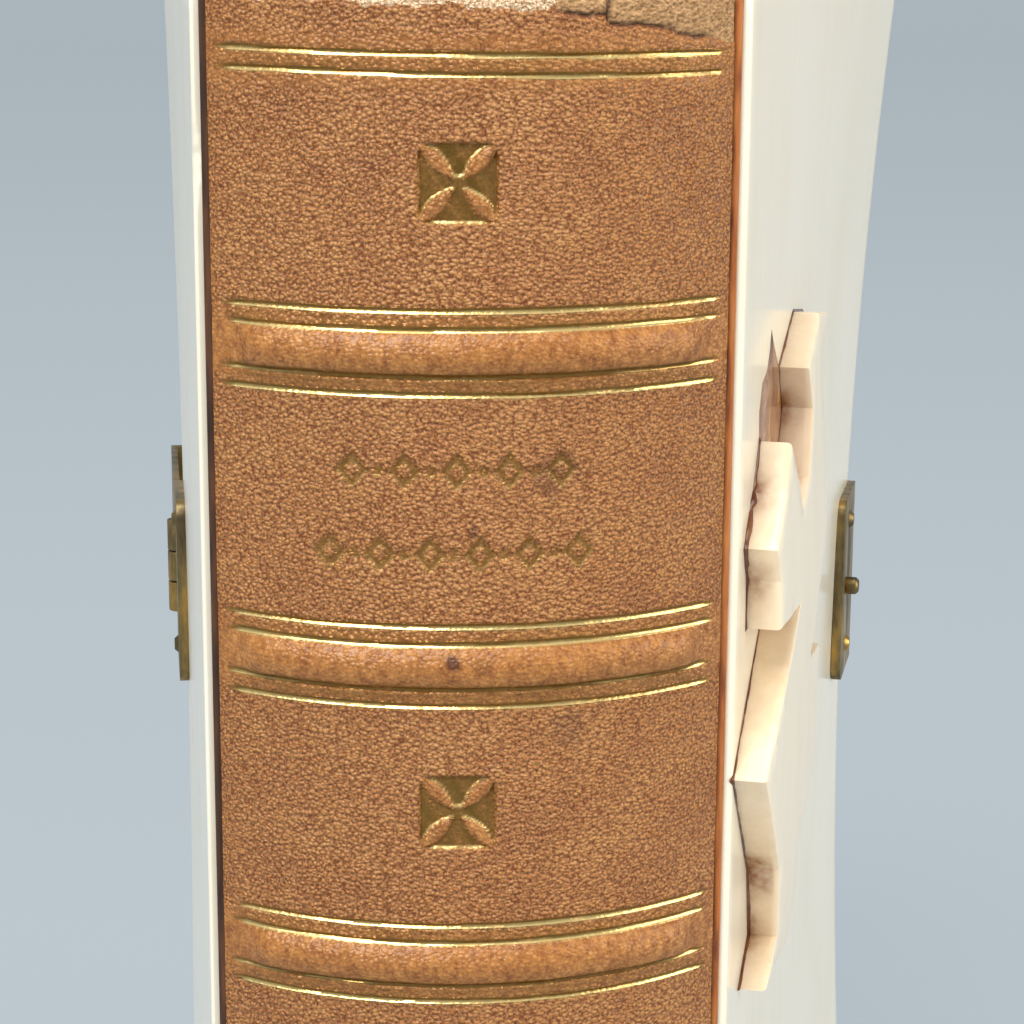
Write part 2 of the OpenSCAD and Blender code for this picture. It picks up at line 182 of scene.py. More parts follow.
def spine_grid():
    fine_z = [(z - 2.75, z + 2.95) for z in BAND_ZS]
    fine_z += [(z - STAMP_HALF - 0.25, z + STAMP_HALF + 0.25) for z in STAMP_ZS]
    fine_z += [(z - 1.4, z + 1.4) for z, *_ in TOOLED_ROWS]
    fine_z += [(0, 0.8), (2.8, 4.8), (BOOK_H - 4.8, BOOK_H)]
    zs = steps(0, BOOK_H, sorted(fine_z), FINE_Z, COARSE_Z)
    xs = steps(-EDGE_X, EDGE_X, [TOOLED_X], FINE_X, COARSE_X)
    return xs, zs


def stamp_relief(x, z):
    """Depth, gilding and bare leaf of the sunk square with four leaves."""
    u, v = np.abs(x - STAMP_X) / STAMP_HALF, np.full_like(x, 9.0)
    for stamp_z in STAMP_ZS:
        v = np.minimum(v, np.abs(z - stamp_z) / STAMP_HALF)
    edge = (np.clip(u, 0, 9) ** 7 + np.clip(v, 0, 9) ** 7) ** (1 / 7)
    inside = 1 - soft_step(0.94, 1.02, edge)
    along, across = (u + v) / 2, np.abs(u - v) / 2
    share = np.clip((along - 0.1) / 0.87, 0, 1)
    half = 0.138 * np.sin(np.pi * share**1.1) ** 0.85
    leaf = (1 - soft_step(-0.025, 0.02, across - half)) * (share > 0) * (share < 1)
    disc = 1 - soft_step(0.17, 0.22, np.hypot(u, v))
    rise = leaf * (0.72 + 0.28 * np.clip(1 - (across / np.maximum(half, 0.02)) ** 2, 0, 1))
    depth = -STAMP_DEPTH * inside * (1 - rise) + 0.09 * inside * disc * (1 - leaf)
    rubbed = np.clip(0.82 + 0.3 * ripple(2.1 * x, 1.7 * z, 73), 0.45, 1)
    return depth, inside * (1 - 0.95 * leaf) * rubbed, inside * leaf


def row_relief(x, z):
    """Two worn rows of lozenges and dots in the second panel."""
    depth, gilt = np.zeros_like(x), np.zeros_like(x)
    for row_z, x0, x1, count in TOOLED_ROWS:
        gap = (x1 - x0) / (count - 1)
        for i in range(2 * count - 1):
            du, dv = np.abs(x - x0 - gap * i / 2), np.abs(z - row_z)
            if i % 2:
                form = 1 - soft_step(0.27, 0.45, np.hypot(du, dv))
                depth, gilt = depth - 0.13 * form, np.maximum(gilt, 0.5 * form)
            else:
                far = du / 1.0 + dv / 1.2
                form = 1 - soft_step(0.86, 1.05, far)
                heart = 1 - soft_step(0.3, 0.5, far)
                depth = depth - 0.17 * form + 0.13 * heart
                gilt = np.maximum(gilt, 0.6 * form * (1 - heart))
    return depth, gilt


def tooled_spine():
    xs, zs = spine_grid()
    x, z = np.meshgrid(xs, zs)
    relief = np.zeros_like(x)
    gilt, polish = np.zeros_like(x), np.zeros_like(x)
    arc_x = EDGE_X * np.sin(math.radians(BAND_END)) / (EDGE_X / BACK_R)
    band_share = 1 - soft_step(arc_x - 1.4, arc_x + 0.1, np.abs(x))
    for band_z in BAND_ZS:
        d = z - band_z + 0.05 * ripple(0.25 * x, band_z, 3)
        crown = np.sqrt(np.clip(BAND_R**2 - d**2, 0, None)) - (BAND_R - BAND_H)
        crown = np.where(crown > 0, crown, 0)
        foot = 0.1 * np.exp(-((np.abs(d) - 1.4) / 0.3) ** 2)
        relief += band_share * (crown * 0.97 + foot * (crown <= 0))
        polish = np.maximum(polish, 1 - soft_step(0.9, 2.9, np.abs(d)))
    rule_share = 1 - soft_step(13.9, 14.5, np.abs(x + 0.2 * ripple(z, 0, 5)))
    for i, rule_z in enumerate(rule_heights()):
        tilt = 0.012 * (x + 12) if rule_z > BOOK_H - 5 else 0
        d = z - rule_z + tilt + 0.04 * ripple(0.21 * x, rule_z, 7)
        cut = np.clip(1 - np.abs(d) / RULE_HALF, 0, 1) * rule_share
        relief -= RULE_DEPTH * cut
        gilt = np.maximum(gilt, soft_step(0.0, 0.35, cut))
    pairs = [(z + b, z + a) for z in BAND_ZS for a, b in (BAND_RULES[:2], BAND_RULES[2:])]
    pairs += [(BOOK_H - 4.3, BOOK_H - 3.2), (3.2, 4.3)]
    for low, high in pairs:
        between = soft_step(low - 0.5, low, z) * (1 - soft_step(high, high + 0.2, z)) * rule_share
        gilt = np.maximum(gilt, between * (0.2 + 0.12 * ripple(0.6 * x, 2 * z, 61)))
    for d in HEAD_RULES:
        polish = np.maximum(polish, 0.6 * (1 - soft_step(0.6, 1.4, np.abs(z - BOOK_H + d))))
    depth, floor, leaf = stamp_relief(x, z)
    relief, gilt, polish = relief + depth, np.maximum(gilt, floor), np.maximum(polish, 0.75 * leaf)
    row_depth, row_gilt = row_relief(x, z)
    relief, gilt = relief + row_depth, np.maximum(gilt, row_gilt)

    # The head has lost its surface, and towards the front cover a torn strip of it is cracked along its lower edge
    below = BOOK_H - z
    worn = 1 - soft_step(-0.3, 0.35, below - 0.42 - 0.03 * (x + 10) - 0.3 * ripple(0.9 * x, 0, 11))
    line = np.interp(x, [3.5, 4.6, 7.2, 7.4, 10.8, 11.4, 13.2, 15.3], [0.9, 1.1, 1.25, 1.75, 1.9, 2.35, 2.6, 3.0])
    line = line + 0.12 * ripple(2.9 * x, 0, 13)
    torn = (1 - soft_step(-0.12, 0.12, below - line)) * soft_step(3.9, 4.9, x)
    crack = np.exp(-(((below - line) / 0.13) ** 2)) * soft_step(4.0, 5.0, x) * (1 - soft_step(13.0, 14.2, x))
    split = np.exp(-(((x - 7.35 - 0.12 * ripple(3 * z, 0, 29)) / 0.14) ** 2)) * (below < line + 0.1)
    relief -= 0.2 * np.maximum(crack, split) + torn * (0.1 + 0.07 * ripple(4 * x, 4 * z, 31))
    relief -= 0.1 * worn * (0.5 + 0.5 * ripple(3 * x, 3 * z, 17))
    relief += 0.03 * ripple(0.5 * x, 0.35 * z, 19)
    stain = np.maximum(crack, split)
    corner = soft_step(0.2, 1.0, 0.5 - 0.4 * ripple(3 * x, 3 * z, 37) - (below - 0.2) / 1.6 - np.abs(x + 13.4) / 5.5)
    stain = np.maximum(stain, 0.75 * corner)
    for sx, sz, r, k in ((-1.35, 76.3, 0.5, 0.9), (0.3, 76.1, 0.8, 0.35), (4.4, 87.3, 1.6, 0.4), (5.6, 72.0, 1.3, 0.35),
                         (-0.2, 83.9, 0.3, 0.7)):
        far = np.hypot(x - sx, z - sz) / r + 0.25 * ripple(2 * x, 2 * z, 23)
        stain = np.maximum(stain, k * (1 - soft_step(0.5, 1.1, far)))

    # Rounded over at head, tail and the two long edges
    for gap in (np.clip(ROUND_OVER - z, 0, ROUND_OVER), np.clip(ROUND_OVER - below, 0, ROUND_OVER)):
        relief -= ROUND_OVER - np.sqrt(ROUND_OVER**2 - gap**2 * 0.98)
    gap = np.clip(np.abs(x) - (EDGE_X - ROUND_SIDE), 0, ROUND_SIDE)
    relief -= ROUND_SIDE - np.sqrt(ROUND_SIDE**2 - gap**2 * 0.95)

    radius = np.minimum(BACK_R + relief, BACK_R + BAND_H)
    angle = np.arcsin(x / BACK_R)
    outer = np.stack([radius * np.sin(angle), BACK_Y - radius * np.cos(angle), z], -1)
    outer[..., 1] = np.minimum(outer[..., 1], 0)

    # Inner wall with its turned-in caps
    lip = HOLLOW_R - CAP_LIP
    back = [(BACK_R - 0.5, BOOK_H), (lip, BOOK_H), (lip, BOOK_H - CAP_T), (HOLLOW_R, BOOK_H - CAP_T),
            (HOLLOW_R, CAP_T), (lip, CAP_T), (lip, 0), (BACK_R - 0.5, 0)]
    share = np.arcsin(xs / BACK_R) / math.asin(EDGE_X / BACK_R)
    rows = [outer[i] for i in range(len(zs))]
    for r, at in back:
        a = share * math.acos(BACK_Y / r)
        rows.append(np.stack([r * np.sin(a), BACK_Y - r * np.cos(a), np.full_like(a, at)], -1))
    points = np.concatenate(rows)
    n, m = len(rows), len(xs)
    faces = [(i * m + j, ((i + 1) % n) * m + j, ((i + 1) % n) * m + j + 1, i * m + j + 1)
             for i in range(n) for j in range(m - 1)]
    faces.append(tuple(i * m for i in range(n)))
    faces.append(tuple(i * m + m - 1 for i in range(n)))

    mesh = bpy.data.meshes.new("tooled_spine")
    mesh.from_pydata(((points - (0, ORIGIN_Y, 0)) * MM).tolist(), [], faces)
    work = bmesh.new()
    work.from_mesh(mesh)
    bmesh.ops.recalc_face_normals(work, faces=work.faces)
    bmesh.ops.triangulate(work, faces=[f for f in work.faces if len(f.verts) > 4])
    work.to_mesh(mesh)
    work.free()
    mesh.shade_smooth()
    mesh.set_sharp_from_angle(angle=math.radians(50))
    piece = bpy.data.objects.new("tooled_spine", mesh)
    bpy.context.scene.collection.objects.link(piece)
    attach(piece, "book_block")
    rest = np.zeros(len(back) * m)
    # Painted highlight: gilt on the upward-facing walls of the grooves is marked to be painted bright
    slope = np.gradient(relief, axis=0) / np.gradient(z, axis=0)
    worn = np.clip(worn * (1 - 0.5 * corner), 0, 1)
    arris = np.clip(-slope * 1.6, 0, 1) * gilt
    for name, values in (("gilt", gilt), ("polish", polish), ("worn", worn), ("torn", torn), ("stain", stain),
                         ("arris", arris)):
        mark(piece, name, np.concatenate([values.ravel(), rest]))
    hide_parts("spine_leather")
    return piece


# The warped covers

CHIP_Z = BOOK_H - 9.8


def cover_plan(z, inset, chip):
    """Outline of a cover plate at height z on the closed book: inner corners square, outer ones round."""
    turns = 6
    r = EDGE_ROUND - inset
    near = r + chip * (0.75 * math.exp(-((z - CHIP_Z) / 1.9) ** 2) * (1 + 0.2 * math.sin(5.1 * z)))
    points = [(PLATE_X + inset / 3, PLATE_Y + inset)]
    for i in range(turns + 1):
        a = math.radians(-90 + 90 * i / turns)
        points.append((FACE_X - inset - near + near * math.cos(a), PLATE_Y + inset + near + near * math.sin(a)))
    for i in range(1, 8):
        points.append((FACE_X - inset, PLATE_Y + 2 + (COVER_Y - PLATE_Y - 4) * (i - 1) / 6))
    for i in range(turns + 1):
        a = math.radians(90 * i / turns)
        points.append((FACE_X - inset - r + r * math.cos(a), COVER_Y - inset - r + r * math.sin(a)))
    points.append((PLATE_X + inset / 3, COVER_Y - inset))
    return points


def cover_plate(name, node, body, side, opened, bow, chip=0):
    ease = EDGE_ROUND / 2
    zs = [(0, ease), (0.04, 0.14), (0.11, 0.06), (ease, 0)]
    zs += [(z, 0) for z in np.linspace(1.5, BOOK_H - 1.5, 58)]
    zs += [(CHIP_Z + d, 0) for d in np.arange(-4.2, 4.3, 0.35)]
    zs += [(BOOK_H - z, inset) for z, inset in zs[:4]]
    points, count = [], 0
    for z, inset in sorted(zs):
        plan = cover_plan(z, inset, chip)
        count = len(plan)
        for x, y in plan:
            tx, ty = turned(x, y, open_at(z, opened, bow))
            points.append((side * tx, ty, z))
    last = len(zs) - 1
    faces = [(k * count + j, k * count + (j + 1) % count, (k + 1) * count + (j + 1) % count, (k + 1) * count + j)
             for k in range(last) for j in range(count)]
    faces.append(tuple(range(count)))
    faces.append(tuple(last * count + j for j in range(count)))
    piece = mesh_piece(name, points, faces, body, smooth=35)
    # Painted shade: the near faces are browned a little, most on the back plate, whose near face is also greyed
    dirt_and_shade = [0.05 if chip and j < 5 else 0.03 if j < 3 else 0 for j in range(count)]
    grey = [0.42 if chip and j < 4 else 0 for j in range(count)]
    mark(piece, "dirt_and_shade", dirt_and_shade * len(zs))
    mark(piece, "grey", grey * len(zs))
    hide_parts(node)
    return piece


def on_warp(y, z, rise):
    """A point on the warped front cover's face, rise millimetres over it."""
    x, y = turned(FACE_X + rise, y, open_at(z, FRONT_OPEN, FRONT_BOW))
    return x, y, z


def relief_at(y, z):
    """Relief of the cross, which is thickest in the middle, with faint marks of the knife."""
    far = ((y - CROSS_MIDDLE[0]) ** 2 + (z - CROSS_MIDDLE[1]) ** 2) / CROSS_REACH**2
    return CROSS_THICK - CROSS_FALL * far + 0.03 * ripple(0.9 * y, 0.7 * z, 41)


def cross_outline(grow=0.0, step=None):
    """Points (y, z) of the cross on the closed cover, once round, moved outwards by grow."""
    ring = [(y * CROSS_W + CROSS_Y, z * CROSS_H + CROSS_Z) for y, z in CROSS]
    grown = []
    for i, (y, z) in enumerate(ring):
        (ay, az), (by, bz) = ring[i - 1], ring[(i + 1) % len(ring)]
        u, v = Vector((y - ay, z - az)).normalized(), Vector((by - y, bz - z)).normalized()
        out = Vector((u.y + v.y, -u.x - v.x))
        out = out / max(0.35, out.length_squared / 2)
        grown.append((y + grow * out.x, z + grow * out.y))
    if not step:
        return grown
    dense = []
    for i, a in enumerate(grown):
        b = grown[(i + 1) % len(grown)]
        count = max(1, round(math.dist(ring[i], ring[(i + 1) % len(ring)]) / step))
        dense += [(a[0] + (b[0] - a[0]) * k / count, a[1] + (b[1] - a[1]) * k / count) for k in range(count)]
    return dense


def to_outline(y, z, ring):
    """Distance from a point to the nearest side of a ring."""
    nearest = 1e9
    for i, a in enumerate(ring):
        b = ring[(i + 1) % len(ring)]
        ey, ez = b[0] - a[0], b[1] - a[1]
        t = min(max(((y - a[0]) * ey + (z - a[1]) * ez) / (ey * ey + ez * ez), 0), 1)
        nearest = min(nearest, math.hypot(y - a[0] - t * ey, z - a[1] - t * ez))
    return nearest


def carved_cross():
    """The swallow-tailed cross: upright walls, a slightly domed face, arrises softened by handling, darker towards the
    foot of the walls and most in the hollow corners, partly stain and partly painted shade.
    """
    corners = cross_outline()
    hollow = [p for p, a, b in zip(corners, corners[-1:] + corners[:-1], corners[1:] + corners[:1])
              if (a[0] - p[0]) * (b[1] - p[1]) - (a[1] - p[1]) * (b[0] - p[0]) > 0]
    rows = ((0, 0, -0.2), (0, 0.02, 0), (0, 0.25, 0), (0, 0.5, 0), (0, 0.75, 0), (0, 1, -0.26), (-0.08, 1, -0.07))
    points, dirt_and_shade, face = [], [], []
    step = 0.7
    foot = cross_outline(0, step)
    n = len(foot)
    for grow, share, off in rows:
        for (y, z), (fy, fz) in zip(cross_outline(grow, step), foot):
            points.append(on_warp(y, z, share * relief_at(fy, fz) + off))
            # Stain and painted shade: darker towards the foot of each wall, most near the hollow corners and in a patch
            # at one lower hollow corner
            near = min(math.dist((fy, fz), p) for p in hollow)
            deep = 1.5 * math.exp(-(((fy - 9.6) / 2.0) ** 2) - ((fz - 57.2) / 1.7) ** 2)
            dirt_and_shade.append(min(1, max(0, 1 - share) ** 1.3 * (0.22 + 0.95 * math.exp(-((near / 1.7) ** 2)))
                            + max(0, 1 - share) ** 0.8 * deep))
            face.append(0)
    rim = cross_outline(-0.26, step)
    inner = [(y, z) for y in np.arange(1.5, 35, 1.3) for z in np.arange(49, 92.5, 1.3)
             if to_outline(y, z, rim) > 0.8]
    found, _, tiles, *_ = delaunay_2d_cdt([Vector(p) for p in rim + inner], [], [tuple(range(n))], 1, 1e-4)
    start = len(points)
    points += [on_warp(y, z, relief_at(y, z)) for y, z in found]
    dirt_and_shade += [0] * len(found)
    face += [1] * len(found)
    spots = [start + min(range(len(found)), key=lambda k: math.dist(found[k], p)) for p in rim]
    faces = [(k * n + j, k * n + (j + 1) % n, (k + 1) * n + (j + 1) % n, (k + 1) * n + j)
             for k in range(len(rows) - 1) for j in range(n)]
    last = (len(rows) - 1) * n
    faces += [(last + j, last + (j + 1) % n, spots[(j + 1) % n], spots[j]) for j in range(n)]
    faces += [tuple(start + k for k in tile) for tile in tiles] + [tuple(range(n))]
    piece = mesh_piece("carved_cross", points, faces, "front_cover", smooth=24)
    mark(piece, "dirt_and_shade", dirt_and_shade)
    mark(piece, "face", face)
    return piece


def glue_line():
    """Old glue and grime squeezed out unevenly along the foot of the cross, in beads by its near arm; its dark band
    round the whole foot is partly painted shade where the cross meets the plate.
    """
    rings = []
    for k, (grow, rise) in enumerate(((-0.5, -0.15), (0.2, -0.15), (0.2, 0.01), (0.05, 0.12), (-0.5, 0.12))):
        ring = []
        for i, (y, z) in enumerate(cross_outline(grow, 0.45)):
            swell = 0.8 + 0.4 * ripple(0.37 * i, 0, 43) + 0.9 * math.exp(-((z - 53) / 4) ** 2) * (y < 14)
            bead = math.exp(-((y - 5) / 3) ** 2 - ((z - 82) / 3.2) ** 2) * (1 + ripple(2.2 * i, 0, 71))
            ring.append((y - 0.3 * bead * (k in (1, 2)), z, rise * (swell + 1.6 * bead) if k in (3, 4) else rise))
        rings.append(ring)
    n = len(rings[0])
    points = [on_warp(*p) for ring in rings for p in ring]
    faces = [(k * n + j, k * n + (j + 1) % n, ((k + 1) % 5) * n + (j + 1) % n, ((k + 1) % 5) * n + j)
             for k in range(5) for j in range(n)]
    piece = mesh_piece("glue_line", points, faces, "front_cover", smooth=60)
    # Nearly all dark: the glue's brown, and painted shade along the foot of the cross
    mark(piece, "dark", [min(1, 0.9 + 0.3 * ripple(0.31 * j, 0, 67)) for k in range(5) for j in range(n)])
    return piece


def glue_and_reflection_blob(name, heart, rim, top):
    """Glue that ran out and dried, here a brown pool that is partly a painted reflection of a shaded wall of the cross:
    heart (y, z) is its highest place, rim its outline on the plate.
    """
    shares = ((1.0, -0.12), (1.0, 0.01), (0.84, 0.5), (0.55, 0.85), (0.25, 1.0))
    points, n = [], len(rim)
    for share, rise in shares:
        for y, z in rim:
            height = rise if rise < 0.1 else rise * top
            points.append(on_warp(heart[0] + (y - heart[0]) * share, heart[1] + (z - heart[1]) * share, height))
    faces = [(k * n + j, k * n + (j + 1) % n, (k + 1) * n + (j + 1) % n, (k + 1) * n + j)
             for k in range(len(shares) - 1) for j in range(n)]
    faces += [tuple(range(n)), tuple((len(shares) - 1) * n + j for j in range(n))]
    piece = mesh_piece(name, points, faces, "front_cover", smooth=60)
    low, high = min(z for _, z in rim), max(z for _, z in rim)
    ends = [max(0, 1 - abs(z - high) / 3.5, 1 - abs(z - low) / 1.8) for _, z in rim] * len(shares)
    mark(piece, "dark", ends)
    return piece


# Leaves of the text block and silk turns of the head and tail bands, set by geometry nodes

MULL_R = HOLLOW_R - 0.6
BLOCK_R = MULL_R - 0.3
SHOULDER_X, SHOULDER_Y = 13.6, BACK_Y - math.sqrt((HOLLOW_R - 0.9) ** 2 - 13.6**2)
BLOCK_X, FORE_Y, FORE_HOLLOW = 12.1, 74.2, 2.4
LEAF_HEAD, LEAF_TAIL, LEAF_PITCH = 112.5, 2.0, 0.11
SILK_TURNS = 74
FORE_R = (BLOCK_X**2 + FORE_HOLLOW**2) / (2 * FORE_HOLLOW)


def repeated(name, spots, sizes, turns, form, material, body):
    """One mesh of the same form set at every spot, by its size and turn, through a geometry nodes tree."""
    tree = bpy.data.node_groups.new(name, "GeometryNodeTree")
    tree.interface.new_socket("Spots", in_out="INPUT", socket_type="NodeSocketGeometry")
    shape = tree.interface.new_socket("Form", in_out="INPUT", socket_type="NodeSocketObject")
    skin = tree.interface.new_socket("Material", in_out="INPUT", socket_type="NodeSocketMaterial")
    tree.interface.new_socket("Mesh", in_out="OUTPUT", socket_type="NodeSocketGeometry")
    given, result = add(tree, "NodeGroupInput"), add(tree, "NodeGroupOutput")
    source = add(tree, "GeometryNodeObjectInfo", {"Object": given.outputs["Form"]})
    size = add(tree, "GeometryNodeInputNamedAttribute", {"Name": "size"}, data_type="FLOAT_VECTOR")
    turn = add(tree, "GeometryNodeInputNamedAttribute", {"Name": "turn"}, data_type="FLOAT_VECTOR")
    placed = add(tree, "GeometryNodeInstanceOnPoints", {
        "Points": given.outputs["Spots"], "Instance": source.outputs["Geometry"], "Rotation": turn, "Scale": size})
    real = add(tree, "GeometryNodeRealizeInstances", {"Geometry": placed})
    dressed = add(tree, "GeometryNodeSetMaterial", {"Geometry": real, "Material": given.outputs["Material"]})
    tree.links.new(dressed.outputs[0], result.inputs["Mesh"])
    mesh = bpy.data.meshes.new(name)
    mesh.from_pydata([(x * MM, (y - ORIGIN_Y) * MM, z * MM) for x, y, z in spots], [], [])
    for key, values in (("size", sizes), ("turn", turns)):
        layer = mesh.attributes.new(key, "FLOAT_VECTOR", "POINT")
        layer.data.foreach_set("vector", np.asarray(values, np.float32).ravel())
    piece = bpy.data.objects.new(name, mesh)
    bpy.context.scene.collection.objects.link(piece)
    setter = piece.modifiers.new("set", "NODES")
    setter.node_group = tree
    setter[shape.identifier], setter[skin.identifier] = form, material
    settle(piece)
    bpy.data.objects.remove(form)
    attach(piece, body)
    return piece


def loose_form(name, points, faces):
    """A small form to be repeated, in millimetres about its own middle."""
    mesh = bpy.data.meshes.new(name)
    mesh.from_pydata([tuple(c * MM for c in p) for p in points], [], faces)
    form = bpy.data.objects.new(name, mesh)
    bpy.context.scene.collection.objects.link(form)
    return form


def leaf_slabs(material):
    """Sewn leaves as thin slabs, each its own length, from the rounded back to the hollow fore-edge."""
    spots, sizes = [], []
    count = int(SHOULDER_X / LEAF_PITCH)
    for i in range(-count, count + 1):
        x = i * LEAF_PITCH
        back = BACK_Y - math.sqrt(BLOCK_R**2 - x**2)
        if abs(x) <= BLOCK_X:
            fore = FORE_Y - FORE_HOLLOW + FORE_R - math.sqrt(FORE_R**2 - x**2) - 0.07 * abs(ripple(3.1 * i, 0, 47))
        else:
            fore = SHOULDER_Y + SHOULDER_X - abs(x)
        head = LEAF_HEAD - 0.06 * abs(ripple(2.7 * i, 0, 53))
        tail = LEAF_TAIL + 0.06 * abs(ripple(3.7 * i, 0, 59))
        spots.append((x, (back + fore) / 2, (head + tail) / 2))
        sizes.append((LEAF_PITCH * 0.86, fore - back, head - tail))
    cube = [(x, y, z) for x in (-0.5, 0.5) for y in (-0.5, 0.5) for z in (-0.5, 0.5)]
    sides = [(0, 1, 3, 2), (4, 6, 7, 5), (0, 4, 5, 1), (2, 3, 7, 6), (0, 2, 6, 4), (1, 5, 7, 3)]
    piece = repeated("leaf_slabs", spots, sizes, [(0, 0, 0)] * len(spots), loose_form("leaf", cube, sides), material,
                     "book_block")
    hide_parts("text_block")


def silk_turns(name, node, z, material):
    """Silk wound round a core, turn beside turn, along the back edge of the leaves."""
    r = BLOCK_R - 0.7
    half = math.asin((SHOULDER_X - 1.5) / BLOCK_R)
    spots, turns = [], []
    for i in range(SILK_TURNS):
        a = -half + 2 * half * (i + 0.5) / SILK_TURNS
        spots.append((r * math.sin(a), BACK_Y - r * math.cos(a), z))
        turns.append((0, 0.12, a))
    points, faces = [], []
    around, cross = 20, 8
    for i in range(around):
        a = 2 * math.pi * i / around
        for k in range(cross):
            b = 2 * math.pi * k / cross
            reach = 0.42 + 0.17 * math.cos(b)
            points.append((0.19 * math.sin(b), reach * math.cos(a), reach * math.sin(a)))
            faces.append((i * cross + k, (i + 1) % around * cross + k, (i + 1) % around * cross + (k + 1) % cross,
                          i * cross + (k + 1) % cross))
    piece = repeated(name, spots, [(1, 1, 1)] * SILK_TURNS, turns, loose_form("turn", points, faces), material,
                     "book_block")
    piece.data.shade_smooth()
    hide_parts(node)


def soften(piece, width, segments=2, angle=30):
    """Rounds the sharp edges of a piece by width millimetres."""
    bevel = piece.modifiers.new("edges", "BEVEL")
    bevel.width, bevel.segments = width * MM, segments
    bevel.limit_method, bevel.angle_limit = "ANGLE", math.radians(angle)
    settle(piece)
    piece.data.shade_smooth()
    piece.data.set_sharp_from_angle(angle=math.radians(38))


def settle(piece):
    """Turns what a piece's modifiers make of it into its plain mesh."""
    ready = piece.evaluated_get(bpy.context.evaluated_depsgraph_get())
    mesh = bpy.data.meshes.new_from_object(ready)
    piece.modifiers.clear()
    piece.data = mesh


def worked_metal(node, name, width):
    """A copy of a solid with its arrises rounded, which stands for it."""
    source = frame["nodes"][node]
    work = bmesh.new()
    work.from_mesh(source.data)
    bmesh.ops.remove_doubles(work, verts=work.verts, dist=2e-6)
    bmesh.ops.dissolve_limit(work, angle_limit=math.radians(1), verts=work.verts, edges=work.edges)
    mesh = bpy.data.meshes.new(name)
    work.to_mesh(mesh)
    work.free()
    piece = bpy.data.objects.new(name, mesh)
    bpy.context.scene.collection.objects.link(piece)
    soften(piece, width)
    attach(piece, source["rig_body"])
    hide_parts(node)
    return piece


# Materials

def tone(code):
    """An sRGB hex colour as the linear one that nodes take."""
    parts = [int(code[i:i + 2], 16) / 255 for i in (1, 3, 5)]
    return (*[c / 12.92 if c <= 0.04045 else ((c + 0.055) / 1.055) ** 2.4 for c in parts], 1)


NOISE, VORONOI, RAMP, MAPPING = "ShaderNodeTexNoise", "ShaderNodeTexVoronoi", "ShaderNodeValToRGB", "ShaderNodeMapping"
MIX, MATH, RANGE, BUMP = "ShaderNodeMix", "ShaderNodeMath", "ShaderNodeMapRange", "ShaderNodeBump"
ATTRIBUTE = "ShaderNodeAttribute"


def feed(tree, node, inputs):
    """Sets a node's inputs, each to a value or to what another node puts out."""
    for key, value in inputs.items():
        if isinstance(value, bpy.types.Node):
            value = next(socket for socket in value.outputs if socket.enabled)
        if isinstance(value, bpy.types.NodeSocket):
            tree.links.new(value, node.inputs[key])
        else:
            node.inputs[key].default_value = value


def add(tree, kind, inputs=None, stops=None, **settings):
    """Adds a node with its settings, colour stops and inputs."""
    made = tree.nodes.new(kind)
    for name, value in settings.items():
        setattr(made, name, value)
    for i, (place, colour) in enumerate(stops or []):
        marks = made.color_ramp.elements
        if i >= len(marks):
            marks.new(1)
        marks[i].position, marks[i].color = place, colour
    feed(tree, made, inputs or {})
    return made


def new_material(name):
    """A material with its tree, its shader and its Object coordinates."""
    material = bpy.data.materials.new(name)
    material.use_nodes = True
    tree = material.node_tree
    shader = tree.nodes["Principled BSDF"]
    place = add(tree, "ShaderNodeTexCoord").outputs["Object"]
    return material, tree, shader, place


def per_mm(size):
    """Scale of a pattern whose cells are size millimetres."""
    return 1 / (size * MM)


